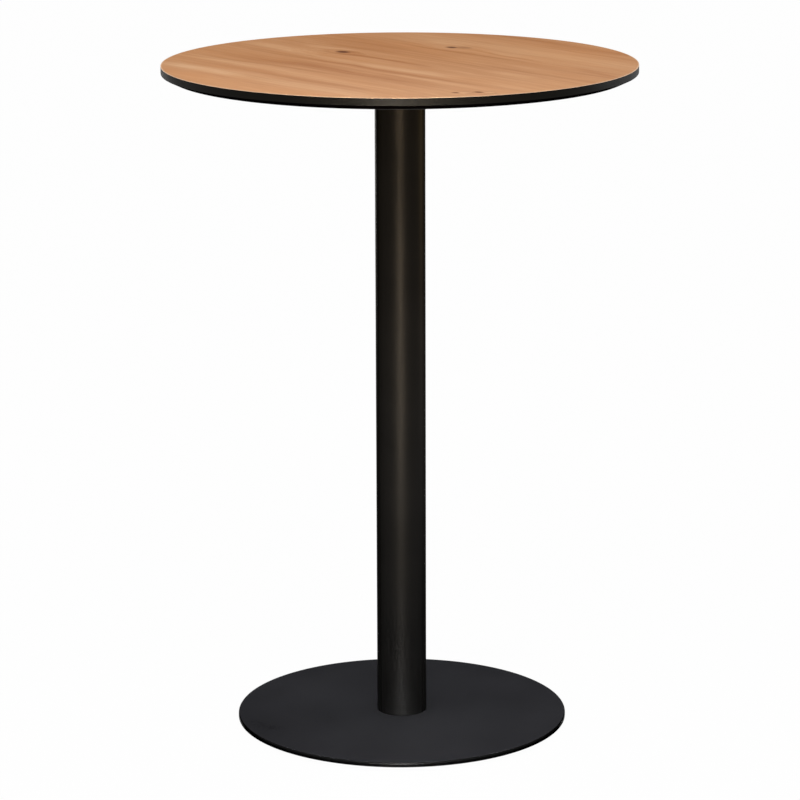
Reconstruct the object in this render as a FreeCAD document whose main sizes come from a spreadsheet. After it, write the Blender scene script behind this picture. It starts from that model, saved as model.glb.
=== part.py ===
"""Round bar table: a wood-faced top on a cast cross, one steel column, a flat round base and four screw feet.

Millimetres, +Z up. The origin is on the floor, under the middle of the base.
Every piece is drawn about its own origin and then set at its height on the column's axis.
"""

import FreeCAD, Part
import math
import os
import Sketcher

doc = FreeCAD.newDocument("bar_table")


# Sizes

class Size:
    """A length with its number and the words by which the document works it out."""

    def __init__(self, number, words):
        self.number = number
        self.words = words

    def __add__(self, other):
        return Size(self.number + other.number, f"({self.words} + {other.words})")

    def __sub__(self, other):
        return Size(self.number - other.number, f"({self.words} - {other.words})")

    def __neg__(self):
        return Size(-self.number, f"(-{self.words})")

    def __mul__(self, share):
        return Size(self.number * share, f"({self.words} * {share!r})")

    def __truediv__(self, count):
        return Size(self.number / count, f"({self.words} / {count!r})")

    def ratio_to(self, other):
        """This size over another one, as a plain number that the document works out too."""
        return Size(self.number / other.number, f"({self.words} / {other.words})")

    def times(self, ratio):
        """This size times such a ratio."""
        return Size(self.number * ratio.number, f"({self.words} * {ratio.words})")


ZERO = Size(0, "0")

DRIVING_SIZES = {
    "overall_height": (1080, "floor to wood face, feet screwed in"),
    "top_diameter": (750, "table top across its black edge"),
    "core_thickness": (18, "core board of the top"),
    "laminate_thickness": (0.5, "decor laminate and backing laminate"),
    "upright_edge": (12, "upright black band of the top, laminate included"),
    "bevel_inset": (15, "how far the lower edge of the top runs in"),
    "cross_reach": (225, "column axis to the tip of each arm"),
    "arm_thickness": (6, "flat of each arm, against the board"),
    "hub_thickness": (8, "middle of the cross, between board and column"),
    "arm_root_width": (62, "arm where its sides would cross the column axis"),
    "arm_tip_width": (34, "arm at its rounded tip"),
    "arm_blend_radius": (44, "hollow corner between two arms"),
    "rib_thickness": (6, "upright rib under each arm"),
    "rib_root_step": (2, "rib above the mouth of the socket"),
    "rib_tip_depth": (3, "rib at its outer end"),
    "rib_end_gap": (12, "rib's outer end to the head of the board screw"),
    "socket_depth": (22, "collar of the cross round the column's head"),
    "socket_wall": (6.5, "collar wall at its upper end"),
    "socket_draft": (1.5, "how much thinner the collar wall is at its mouth"),
    "socket_clearance": (0.2, "between collar and column, all round"),
    "screw_inset": (17, "tip of an arm to the board screw"),
    "screw_diameter": (6, "board screw over its thread"),
    "screw_length": (16, "board screw under its head"),
    "screw_head_diameter": (12, "pan head of the board screw"),
    "screw_head_height": (3.5, "pan head of the board screw"),
    "screw_hole_clearance": (0.3, "hole in the cross round a board screw, all round"),
    "pilot_end_gap": (1, "free end of a pilot hole past its screw"),
    "thread_clearance": (0.05, "between a plain thread and its hole, all round"),
    "bolt_diameter": (12, "countersunk bolt over its thread"),
    "bolt_length": (22, "countersunk bolt, head included"),
    "bolt_head_diameter": (22.5, "countersunk bolt head"),
    "bolt_socket_width": (8, "hexagon socket across its flats"),
    "bolt_socket_depth": (4, "hexagon socket of the bolt"),
    "bolt_hole_clearance": (0.5, "clearance hole round a bolt, all round"),
    "head_sink": (0.3, "bolt head below the face that it lies in"),
    "seat_gap": (0.02, "between bolt cone and countersink"),
    "column_diameter": (80, "column tube outside"),
    "column_wall": (2, "column tube wall"),
    "disc_thickness": (12, "tapped disc at each end of the column"),
    "disc_fit": (0.05, "between disc and tube before welding, all round"),
    "base_diameter": (535, "base plate"),
    "base_thickness": (8, "base plate"),
    "base_rim_bevel": (2.5, "bevelled upper rim of the base plate"),
    "foot_inset": (40, "rim of the base plate to the axis of a foot"),
    "blind_hole_cover": (1.8, "plate left above the blind hole of a foot"),
    "stud_end_gap": (0.5, "end of the blind hole past the stud"),
    "stud_diameter": (8, "foot stud over its thread"),
    "collar_width": (13, "hexagon collar of the stud across its flats"),
    "collar_height": (3.5, "hexagon collar of the stud"),
    "pad_diameter": (32, "plastic pad of a foot"),
    "pad_height": (4.5, "plastic pad of a foot"),
    "peg_diameter": (9.5, "peg of the stud in the pad's socket"),
    "peg_length": (2.8, "peg of the stud in the pad's socket"),
    "peg_end_gap": (0.2, "socket floor of the pad under the peg"),
    "swivel_clearance": (0.05, "between peg and socket, all round"),
    "overrun": (2, "how far a cut runs past the face that it opens"),
}
ARMS = 4
FEET = {
    "front_left": (-1, -1),
    "front_right": (1, -1),
    "rear_left": (-1, 1),
    "rear_right": (1, 1),
}


class SizeSheet:
    """The spreadsheet of driving sizes; each size is also an attribute of this object."""

    def __init__(self, rows):
        sheet = doc.addObject("Spreadsheet::Sheet", "Sizes")
        for row, (name, (number, meaning)) in enumerate(rows.items(), start=1):
            sheet.set(f"A{row}", name)
            sheet.set(f"B{row}", str(number))
            sheet.set(f"C{row}", meaning)
            sheet.setAlias(f"B{row}", name)
            setattr(self, name, Size(number, f"Sizes.{name}"))


size = SizeSheet(DRIVING_SIZES)
doc.recompute()


# Places that several pieces share, worked out from the driving sizes

board_thickness = size.core_thickness + size.laminate_thickness * 2
board_underside = size.overall_height - board_thickness
foot_height = size.pad_height + size.collar_height
base_top = foot_height + size.base_thickness
column_head = board_underside - size.hub_thickness
column_length = column_head - base_top
column_bore_radius = size.column_diameter / 2 - size.column_wall
foot_offset = (size.base_diameter / 2 - size.foot_inset) * math.sqrt(0.5)
stud_hole_depth = size.base_thickness - size.blind_hole_cover
screw_place = size.cross_reach - size.screw_inset
pilot_radius = size.screw_diameter / 2 + size.thread_clearance
pilot_depth = size.screw_length - size.arm_thickness + size.pilot_end_gap


# How pieces are drawn

def bind(thing, name, length):
    """Ties one property of a feature to the sheet."""
    setattr(thing, name, length.number)
    thing.setExpression(name, length.words)


def new_body(label, height=ZERO):
    """An empty piece whose own origin lies at this height on the column's axis."""
    body = doc.addObject("PartDesign::Body", label)
    body.Label = label
    body.Placement.Base.z = height.number
    body.setExpression("Placement.Base.z", height.words)
    return body


def origin_part(body, role):
    """An origin plane or axis of the piece."""
    return next(part for part in body.Origin.OriginFeatures if part.Role == role)


def new_sketch(body, plane, lift=ZERO):
    """A sketch on an origin plane of the piece, lifted off that plane along its normal."""
    sketch = body.newObject("Sketcher::SketchObject", f"{body.Name}_sketch")
    sketch.AttachmentSupport = (origin_part(body, plane), [""])
    sketch.MapMode = "FlatFace"
    sketch.AttachmentOffset.Base.z = lift.number
    sketch.setExpression("AttachmentOffset.Base.z", lift.words)
    return sketch


def hold(sketch, kind, *what, length):
    """A dimension of the sketch that follows the sheet."""
    index = sketch.addConstraint(Sketcher.Constraint(kind, *what, length.number))
    sketch.setExpression(f"Constraints[{index}]", length.words)


def hold_point(sketch, line, end, across, along):
    """Holds one end of a line at its two distances from the sketch's origin."""
    for kind, length, axis in (("DistanceX", across, -2), ("DistanceY", along, -1)):
        if length is ZERO:
            sketch.addConstraint(Sketcher.Constraint("PointOnObject", line, end, axis))
        else:
            hold(sketch, kind, -1, 1, line, end, length=length)


def draw_outline(sketch, corners):
    """A closed outline of straight sides through corners given as (across, along)."""
    spots = [FreeCAD.Vector(across.number, along.number, 0) for across, along in corners]
    first = sketch.GeometryCount
    for start, end in zip(spots, spots[1:] + spots[:1]):
        sketch.addGeometry(Part.LineSegment(start, end))
    for index, (across, along) in enumerate(corners):
        before = first + (index - 1) % len(corners)
        sketch.addConstraint(Sketcher.Constraint("Coincident", before, 2, first + index, 1))
        hold_point(sketch, first + index, 1, across, along)


def draw_circle(sketch, across, along, radius):
    """A circle with its centre held from the sketch's origin."""
    centre = FreeCAD.Vector(across.number, along.number, 0)
    circle = sketch.addGeometry(Part.Circle(centre, FreeCAD.Vector(0, 0, 1), radius.number))
    hold_point(sketch, circle, 3, across, along)
    hold(sketch, "Radius", circle, length=radius)


def draw_hexagon(sketch, width):
    """A regular hexagon about the sketch's origin, given across its flats."""
    corner_radius = width / math.sqrt(3)
    half = corner_radius / 2
    rise = width / 2
    draw_outline(sketch, [
        (corner_radius, ZERO),
        (half, rise),
        (-half, rise),
        (-corner_radius, ZERO),
        (-half, -rise),
        (half, -rise),
    ])


def pad(body, sketch, length, down=False, both_ways=False):
    feature = body.newObject("PartDesign::Pad", f"{body.Name}_pad")
    feature.Profile = sketch
    bind(feature, "Length", length)
    feature.Reversed = down
    if both_ways:
        feature.SideType = "Symmetric"
    sketch.Visibility = False
    return feature


def volume(body):
    """Volume of the piece as it stands."""
    doc.recompute()
    return body.Shape.Volume if body.Tip else 0


def pocket(body, sketch, depth, up=False):
    """A cut from the sketch, downwards unless up is set, which must take something away."""
    before = volume(body)
    feature = body.newObject("PartDesign::Pocket", f"{body.Name}_pocket")
    feature.Profile = sketch
    bind(feature, "Length", depth)
    feature.Reversed = up
    sketch.Visibility = False
    if not volume(body) < before:
        raise RuntimeError(f"{feature.Name} cuts nothing")
    return feature


def revolve(body, sketch, axis=None):
    """A full turn of the sketch about its own upright axis, or about a line that is named."""
    feature = body.newObject("PartDesign::Revolution", f"{body.Name}_revolution")
    feature.Profile = sketch
    feature.ReferenceAxis = (sketch, [axis or "V_Axis"])
    feature.Angle = 360
    sketch.Visibility = False
    return feature


def repeat_round(body, features, count):
    """Repeats features round the column's axis, spread over the whole turn."""
    pattern = body.newObject("PartDesign::PolarPattern", f"{body.Name}_pattern")
    pattern.Originals = features
    pattern.Axis = (origin_part(body, "Z_Axis"), [""])
    pattern.Angle = 360
    pattern.Occurrences = count
    body.Tip = pattern
    return pattern


def draw_upright_line(sketch, across):
    """A construction line parallel to the upright axis, for turning a profile that stands off it."""
    start = FreeCAD.Vector(across.number, 0, 0)
    end = FreeCAD.Vector(across.number, size.overrun.number, 0)
    line = sketch.addGeometry(Part.LineSegment(start, end), True)
    hold_point(sketch, line, 1, across, ZERO)
    hold_point(sketch, line, 2, across, size.overrun)
    return "Axis0"


def rim_edges(body, radius, height):
    """Names of the circular edges with this radius at this height of the piece's own frame."""
    doc.recompute()
    named = []
    for number, edge in enumerate(body.Tip.Shape.Edges, start=1):
        curve = edge.Curve
        if isinstance(curve, Part.Circle):
            same_radius = math.isclose(curve.Radius, radius.number, abs_tol=1e-4)
            if same_radius and math.isclose(curve.Center.z, height.number, abs_tol=1e-4):
                named.append(f"Edge{number}")
    return named


def upright_edges(body, reach):
    """Names of the upright straight edges that stand nearer to the piece's own axis than this reach."""
    doc.recompute()
    named = []
    for number, edge in enumerate(body.Tip.Shape.Edges, start=1):
        low, high = edge.firstVertex().Point, edge.lastVertex().Point
        upright = math.hypot(low.x - high.x, low.y - high.y) < 1e-4
        if upright and math.hypot(low.x, low.y) < reach.number:
            named.append(f"Edge{number}")
    return named


def dress(body, kind, edges, length):
    """A fillet or chamfer on named edges of the piece."""
    if not edges:
        raise RuntimeError(f"{body.Name} has no such edge to dress")
    undressed = body.Tip
    feature = body.newObject(f"PartDesign::{kind}", f"{body.Name}_{kind.lower()}")
    feature.Base = (undressed, edges)
    bind(feature, "Radius" if kind == "Fillet" else "Size", length)
    return feature


def drill(body, sketch, diameter, head_diameter, up=False):
    """A countersunk hole right through the piece, which must take something away."""
    before = volume(body)
    feature = body.newObject("PartDesign::Hole", f"{body.Name}_hole")
    feature.Profile = sketch
    feature.Threaded = False
    feature.DepthType = "ThroughAll"
    feature.HoleCutType = "Countersink"
    feature.HoleCutCustomValues = True
    feature.HoleCutCountersinkAngle = 90
    bind(feature, "Diameter", diameter)
    bind(feature, "HoleCutDiameter", head_diameter)
    feature.Reversed = up
    sketch.Visibility = False
    if not volume(body) < before:
        raise RuntimeError(f"{feature.Name} cuts nothing")
    return feature


# The board

top_radius = size.top_diameter / 2
bevel_height = board_thickness - size.upright_edge
lower_edge_radius = top_radius - size.bevel_inset
laminate_share = size.laminate_thickness.ratio_to(bevel_height)
backing_edge_radius = lower_edge_radius + size.bevel_inset.times(laminate_share)


def bore_for_screws(body, height, depth):
    """Pilot holes for the board screws, one above the tip of each arm."""
    sketch = new_sketch(body, "XY_Plane", height)
    draw_circle(sketch, screw_place, ZERO, pilot_radius)
    hole = pocket(body, sketch, depth, up=True)
    repeat_round(body, [hole], ARMS)


def make_top_core():
    """The core board: an upright edge, then a bevel that runs in to the underside."""
    body = new_body("top_core", board_underside)
    sketch = new_sketch(body, "XZ_Plane")
    core_top = board_thickness - size.laminate_thickness
    draw_outline(sketch, [
        (ZERO, size.laminate_thickness),
        (backing_edge_radius, size.laminate_thickness),
        (top_radius, bevel_height),
        (top_radius, core_top),
        (ZERO, core_top),
    ])
    revolve(body, sketch)
    bore_for_screws(body, size.laminate_thickness, pilot_depth - size.laminate_thickness)
    return body


def make_top_backing_laminate():
    """The backing sheet, whose edge carries on the bevel of the core."""
    body = new_body("top_backing_laminate", board_underside)
    sketch = new_sketch(body, "XZ_Plane")
    draw_outline(sketch, [
        (ZERO, ZERO),
        (lower_edge_radius, ZERO),
        (backing_edge_radius, size.laminate_thickness),
        (ZERO, size.laminate_thickness),
    ])
    revolve(body, sketch)
    bore_for_screws(body, ZERO, size.laminate_thickness + size.overrun)
    return body


def make_top_face_laminate():
    """The decor sheet over the whole top, flush with the edge of the core."""
    body = new_body("top_face_laminate", size.overall_height - size.laminate_thickness)
    sketch = new_sketch(body, "XY_Plane")
    draw_circle(sketch, ZERO, ZERO, top_radius)
    pad(body, sketch, size.laminate_thickness)
    return body


# The cross

socket_radius = size.column_diameter / 2 + size.socket_clearance
bolt_radius = size.bolt_diameter / 2
bolt_head_radius = size.bolt_head_diameter / 2
bolt_hole_radius = bolt_radius + size.bolt_hole_clearance
countersink_radius = bolt_head_radius + size.head_sink + size.seat_gap


def draw_arm(sketch):
    """One arm seen from above: straight sides that draw together, then a round tip tangent to both."""
    tip_radius = size.arm_tip_width / 2
    tip_centre = size.cross_reach - tip_radius
    half_root = size.arm_root_width / 2
    to_corner = math.pi - math.atan2(half_root.number, tip_centre.number)
    root_distance = math.hypot(tip_centre.number, half_root.number)
    touch = to_corner - math.acos(tip_radius.number / root_distance)
    reach = tip_centre.number + tip_radius.number * math.cos(touch)
    half_width = tip_radius.number * math.sin(touch)
    near_left = FreeCAD.Vector(0, half_root.number, 0)
    near_right = FreeCAD.Vector(0, -half_root.number, 0)
    far_left = FreeCAD.Vector(reach, half_width, 0)
    far_right = FreeCAD.Vector(reach, -half_width, 0)
    centre = FreeCAD.Vector(tip_centre.number, 0, 0)
    tip = Part.Circle(centre, FreeCAD.Vector(0, 0, 1), tip_radius.number)
    inner = sketch.addGeometry(Part.LineSegment(near_left, near_right))
    right = sketch.addGeometry(Part.LineSegment(near_right, far_right))
    round_tip = sketch.addGeometry(Part.ArcOfCircle(tip, -touch, touch))
    left = sketch.addGeometry(Part.LineSegment(far_left, near_left))
    sketch.addConstraint(Sketcher.Constraint("Coincident", inner, 2, right, 1))
    sketch.addConstraint(Sketcher.Constraint("Coincident", left, 2, inner, 1))
    sketch.addConstraint(Sketcher.Constraint("Tangent", right, 2, round_tip, 1))
    sketch.addConstraint(Sketcher.Constraint("Tangent", round_tip, 2, left, 1))
    hold_point(sketch, inner, 1, ZERO, half_root)
    hold_point(sketch, inner, 2, ZERO, -half_root)
    hold_point(sketch, round_tip, 3, tip_centre, ZERO)
    hold(sketch, "Radius", round_tip, length=tip_radius)


def make_support_cross():
    """The cast cross: four arms that flow into each other, tapering ribs, a drafted socket for the column."""
    body = new_body("support_cross", board_underside)
    flat = -size.arm_thickness
    mouth = -size.hub_thickness - size.socket_depth
    arm_sketch = new_sketch(body, "XY_Plane")
    draw_arm(arm_sketch)
    arm = pad(body, arm_sketch, size.arm_thickness, down=True)
    repeat_round(body, [arm], ARMS)
    dress(body, "Fillet", upright_edges(body, size.cross_reach / 2), size.arm_blend_radius)

    collar_sketch = new_sketch(body, "XZ_Plane")
    draw_outline(collar_sketch, [
        (ZERO, ZERO),
        (socket_radius + size.socket_wall, ZERO),
        (socket_radius + size.socket_wall - size.socket_draft, mouth),
        (socket_radius, mouth),
        (socket_radius, -size.hub_thickness),
        (ZERO, -size.hub_thickness),
    ])
    revolve(body, collar_sketch)

    rib_sketch = new_sketch(body, "XZ_Plane")
    rib_root = socket_radius + size.socket_wall / 2
    rib_end = screw_place - size.screw_head_diameter / 2 - size.rib_end_gap
    draw_outline(rib_sketch, [
        (rib_root, flat),
        (rib_end, flat),
        (rib_end, flat - size.rib_tip_depth),
        (rib_root, mouth + size.rib_root_step),
    ])
    rib = pad(body, rib_sketch, size.rib_thickness, both_ways=True)
    hole_sketch = new_sketch(body, "XY_Plane")
    draw_circle(hole_sketch, screw_place, ZERO, size.screw_diameter / 2 + size.screw_hole_clearance)
    hole = pocket(body, hole_sketch, size.arm_thickness + size.overrun)
    repeat_round(body, [rib, hole], ARMS)

    bolt_sketch = new_sketch(body, "XY_Plane")
    draw_circle(bolt_sketch, ZERO, ZERO, bolt_hole_radius)
    drill(body, bolt_sketch, bolt_hole_radius * 2, countersink_radius * 2)
    return body


# Screws and bolts

def make_cross_screws():
    """Pan head screws up through the tips of the arms into the board."""
    body = new_body("cross_screws", board_underside - size.arm_thickness)
    head_radius = size.screw_head_diameter / 2
    thread_radius = size.screw_diameter / 2
    sketch = new_sketch(body, "XZ_Plane")
    draw_outline(sketch, [
        (screw_place, -size.screw_head_height),
        (screw_place + head_radius, -size.screw_head_height),
        (screw_place + head_radius, ZERO),
        (screw_place + thread_radius, ZERO),
        (screw_place + thread_radius, size.screw_length),
        (screw_place, size.screw_length),
    ])
    screw = revolve(body, sketch, draw_upright_line(sketch, screw_place))
    repeat_round(body, [screw], ARMS)
    return body


def make_column_bolts():
    """Two countersunk bolts with hexagon sockets: one up through the base plate, one down through the cross."""
    body = new_body("column_bolts")
    lower_face = foot_height + size.head_sink
    upper_face = board_underside - size.head_sink
    head_taper = bolt_head_radius - bolt_radius
    sketch = new_sketch(body, "XZ_Plane")
    draw_outline(sketch, [
        (ZERO, lower_face),
        (bolt_head_radius, lower_face),
        (bolt_radius, lower_face + head_taper),
        (bolt_radius, lower_face + size.bolt_length),
        (ZERO, lower_face + size.bolt_length),
    ])
    draw_outline(sketch, [
        (ZERO, upper_face),
        (bolt_head_radius, upper_face),
        (bolt_radius, upper_face - head_taper),
        (bolt_radius, upper_face - size.bolt_length),
        (ZERO, upper_face - size.bolt_length),
    ])
    revolve(body, sketch)
    for face, upwards in ((lower_face, True), (upper_face, False)):
        socket_sketch = new_sketch(body, "XY_Plane", face)
        draw_hexagon(socket_sketch, size.bolt_socket_width)
        pocket(body, socket_sketch, size.bolt_socket_depth, up=upwards)
    return body


# The column

def make_column_tube():
    """The steel tube between the base plate and the hub of the cross."""
    body = new_body("column_tube", base_top)
    sketch = new_sketch(body, "XY_Plane")
    draw_circle(sketch, ZERO, ZERO, size.column_diameter / 2)
    draw_circle(sketch, ZERO, ZERO, column_bore_radius)
    pad(body, sketch, column_length)
    return body


def make_column_disc(label, height):
    """A disc with a tapped hole that closes one end of the tube."""
    body = new_body(label, height)
    sketch = new_sketch(body, "XY_Plane")
    draw_circle(sketch, ZERO, ZERO, column_bore_radius - size.disc_fit)
    draw_circle(sketch, ZERO, ZERO, bolt_radius + size.thread_clearance)
    pad(body, sketch, size.disc_thickness)
    return body


# The base

def make_base_plate():
    """The flat plate: bevelled upper rim, a countersunk bolt hole from below, blind tapped holes for the feet."""
    body = new_body("base_plate", foot_height)
    base_radius = size.base_diameter / 2
    sketch = new_sketch(body, "XY_Plane")
    draw_circle(sketch, ZERO, ZERO, base_radius)
    pad(body, sketch, size.base_thickness)
    dress(body, "Chamfer", rim_edges(body, base_radius, size.base_thickness), size.base_rim_bevel)

    bolt_sketch = new_sketch(body, "XY_Plane")
    draw_circle(bolt_sketch, ZERO, ZERO, bolt_hole_radius)
    drill(body, bolt_sketch, bolt_hole_radius * 2, countersink_radius * 2, up=True)

    foot_sketch = new_sketch(body, "XY_Plane")
    draw_circle(foot_sketch, foot_offset, foot_offset, size.stud_diameter / 2 + size.thread_clearance)
    foot_hole = pocket(body, foot_sketch, stud_hole_depth, up=True)
    repeat_round(body, [foot_hole], len(FEET))
    return body


# The feet

def set_under_base(body, side, depth):
    """Sets a foot piece under its corner of the base plate; side and depth are -1 or 1."""
    for axis, sign in (("x", side), ("y", depth)):
        place = foot_offset if sign > 0 else -foot_offset
        setattr(body.Placement.Base, axis, place.number)
        body.setExpression(f"Placement.Base.{axis}", place.words)


def make_foot_pad(corner, side, depth):
    """The plastic pad, with a socket in which the peg of the stud turns."""
    body = new_body(f"foot_pad_{corner}")
    set_under_base(body, side, depth)
    pad_radius = size.pad_diameter / 2
    peg_socket_radius = size.peg_diameter / 2 + size.swivel_clearance
    socket_floor = size.pad_height - size.peg_length - size.peg_end_gap
    sketch = new_sketch(body, "XZ_Plane")
    draw_outline(sketch, [
        (ZERO, ZERO),
        (pad_radius, ZERO),
        (pad_radius, size.pad_height),
        (peg_socket_radius, size.pad_height),
        (peg_socket_radius, socket_floor),
        (ZERO, socket_floor),
    ])
    revolve(body, sketch)
    return body


def make_foot_stud(corner, side, depth):
    """The steel stud: a peg in the pad's socket, a hexagon collar, and the thread above it."""
    body = new_body(f"foot_stud_{corner}", size.pad_height)
    set_under_base(body, side, depth)
    stud_end = size.collar_height + stud_hole_depth - size.stud_end_gap
    sketch = new_sketch(body, "XZ_Plane")
    draw_outline(sketch, [
        (ZERO, -size.peg_length),
        (size.peg_diameter / 2, -size.peg_length),
        (size.peg_diameter / 2, ZERO),
        (size.stud_diameter / 2, ZERO),
        (size.stud_diameter / 2, stud_end),
        (ZERO, stud_end),
    ])
    revolve(body, sketch)
    collar_sketch = new_sketch(body, "XY_Plane")
    draw_hexagon(collar_sketch, size.collar_width)
    pad(body, collar_sketch, size.collar_height)
    return body


# The whole table

pieces = [
    make_top_face_laminate(),
    make_top_core(),
    make_top_backing_laminate(),
    make_support_cross(),
    make_cross_screws(),
    make_column_bolts(),
    make_column_disc("column_head_disc", column_head - size.disc_thickness),
    make_column_tube(),
    make_column_disc("column_foot_disc", base_top),
    make_base_plate(),
]
for corner, (side, depth) in FEET.items():
    pieces.append(make_foot_pad(corner, side, depth))
    pieces.append(make_foot_stud(corner, side, depth))

doc.recompute()
faults = [thing.Label for thing in doc.Objects if {"Invalid", "Error"} & set(thing.State)]
faults += [piece.Label for piece in pieces if piece.Shape.isNull() or not piece.Shape.isValid()]
if faults:
    raise RuntimeError(f"these did not build: {sorted(set(faults))}")

os.makedirs("parts", exist_ok=True)
for piece in pieces:
    piece.Shape.exportStep(f"parts/{piece.Label}.step")
    print(f"{piece.Label}: {len(piece.Shape.Solids)} solids, {piece.Shape.Volume:.0f} cubic millimetres")
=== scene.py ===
"""Looks of a round bar table: wood decor face, black bevelled edge, coated steel column and base, screw feet.

Metres, +Z up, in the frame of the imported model. Every new piece is a surface worked out with numpy on a
grid of two parameters. Its place is in its mesh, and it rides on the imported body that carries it.
"""

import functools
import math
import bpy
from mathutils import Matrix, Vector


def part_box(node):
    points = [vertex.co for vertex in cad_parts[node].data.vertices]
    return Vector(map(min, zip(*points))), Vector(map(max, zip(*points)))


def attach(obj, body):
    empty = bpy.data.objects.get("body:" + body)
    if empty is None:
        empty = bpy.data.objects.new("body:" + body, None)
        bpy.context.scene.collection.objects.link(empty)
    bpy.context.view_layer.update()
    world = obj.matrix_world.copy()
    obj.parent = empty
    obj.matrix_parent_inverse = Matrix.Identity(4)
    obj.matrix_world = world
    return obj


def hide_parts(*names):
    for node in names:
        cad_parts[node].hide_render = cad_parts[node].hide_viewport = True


bl_info = {
    "name": "Round Bar Table",
    "version": (1, 0, 0),
    "blender": (4, 5, 0),
    "location": "3D View > Sidebar > Bar Table",
    "description": "Dresses the packed frame of a round bar table and sets up its studio",
    "category": "Object",
}

import bmesh
import bpy
import numpy as np
from mathutils import Matrix, Vector

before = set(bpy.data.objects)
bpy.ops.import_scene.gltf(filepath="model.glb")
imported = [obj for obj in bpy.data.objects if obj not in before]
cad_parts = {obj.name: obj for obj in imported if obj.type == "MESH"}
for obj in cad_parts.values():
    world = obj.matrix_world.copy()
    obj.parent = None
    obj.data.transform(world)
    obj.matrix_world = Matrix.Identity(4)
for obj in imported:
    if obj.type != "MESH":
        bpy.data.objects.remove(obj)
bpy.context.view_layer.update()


MM = 0.001
CORNERS = ("front_left", "front_right", "rear_left", "rear_right")


def high_of(node):
    """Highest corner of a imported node."""
    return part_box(node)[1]


def linear(red, green, blue):
    """A colour as it looks on a screen, 0 to 255, in the values that light adds up in."""
    share = np.array([red, green, blue]) / 255
    return tuple(np.where(share > 0.04045, ((share + 0.055) / 1.055) ** 2.4, share / 12.92).tolist())


# Surfaces

ROUND_STEPS = 256
HOLE_COUNT = 4
JOIN_DISTANCE = 1e-6


def unit(vector):
    """The vector's direction, with length one."""
    return vector / np.linalg.norm(vector)


def softened(corners, steps=5):
    """A profile of (radius, height) with arcs at its corners, which are (radius, height, softening).

    Where the sides meet at an inner angle 2h, an arc of radius q starts q / tan(h) before the corner, ends as
    far behind it, and has its centre q / sin(h) away on the line that halves the angle.
    """
    spots = [np.array(corner[:2], float) for corner in corners]
    profile = []
    for index, (spot, corner) in enumerate(zip(spots, corners)):
        radius = corner[2] if len(corner) > 2 else 0
        if not radius:
            profile.append(spot[None])
            continue
        back, ahead = unit(spots[index - 1] - spot), unit(spots[index + 1] - spot)
        half = math.acos(float(back @ ahead)) / 2
        centre = spot + unit(back + ahead) * radius / math.sin(half)
        start = spot + back * radius / math.tan(half) - centre
        end = spot + ahead * radius / math.tan(half) - centre
        sweep = math.pi - 2 * half
        share = np.linspace(0, 1, steps + 1)[:, None]
        arc = np.sin((1 - share) * sweep) * start + np.sin(share * sweep) * end
        profile.append(centre + arc / math.sin(sweep))
    return np.concatenate(profile)


def turned(profile, steps=ROUND_STEPS, middle=(0, 0)):
    """A surface of revolution: (r cos a, r sin a, z) for each (r, z) of the profile and each angle a."""
    angle = np.linspace(0, 2 * math.pi, steps, endpoint=False)
    radius, height = np.asarray(profile, float).T[:, :, None]
    grid = np.stack(np.broadcast_arrays(
        middle[0] + radius * np.cos(angle), middle[1] + radius * np.sin(angle), height), axis=-1)
    return grid, True


def bored_ring(inner, outer, height, hole, place, depth, first_angle):
    """A flat ring with blind round holes, as one grid a hole.

    Each hole has an equal sector of the ring. In polar coordinates (r, a) the rows go in straight lines,
    (1 - t) outline + t rim, from the sector's outline to the hole's rim, then down its wall and over its
    floor to its middle. The rim's point for an outline point lies in the direction (r - place, place a).
    """
    half = math.pi / HOLE_COUNT
    sweep = np.linspace(-half, half, ROUND_STEPS // HOLE_COUNT + 1)
    reach = np.linspace(outer, inner, 9)
    radius = np.concatenate([
        np.full(sweep.size - 1, outer), reach[:-1], np.full(sweep.size - 1, inner), reach[:0:-1]])
    angle = np.concatenate([
        sweep[:-1], np.full(reach.size - 1, half), sweep[:0:-1], np.full(reach.size - 1, -half)])
    direction = np.arctan2(place * angle, radius - place)
    rim = place + hole * np.cos(direction), hole * np.sin(direction)
    share = np.linspace(0, 1, 7)[:, None]
    radii = (1 - share) * radius + share * np.hypot(*rim)
    angles = (1 - share) * angle + share * np.arctan2(rim[1], rim[0])
    radii = np.concatenate([radii, radii[-1:], np.full_like(radii[-1:], place)])
    angles = np.concatenate([angles, angles[-1:], np.zeros_like(angles[-1:])])
    level = np.full_like(radii, height)
    level[-2:] += depth
    turns = (first_angle + 2 * half * number for number in range(HOLE_COUNT))
    return [(np.stack([radii * np.cos(angles + turn), radii * np.sin(angles + turn), level], axis=-1), True)
            for turn in turns]


def grid_faces(rows, columns, wraps):
    """Corner numbers of the faces between neighbouring rows and columns."""
    row = np.arange(rows - 1)[:, None]
    column = np.arange(columns if wraps else columns - 1)[None]
    following = (column + 1) % columns
    here, above = row * columns, (row + 1) * columns
    faces = np.stack(np.broadcast_arrays(
        here + column, here + following, above + following, above + column), axis=-1)
    return faces.reshape(-1, 4)


def new_object(name, data):
    """An object in the scene, at the origin."""
    item = bpy.data.objects.new(name, data)
    bpy.context.scene.collection.objects.link(item)
    return item


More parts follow.
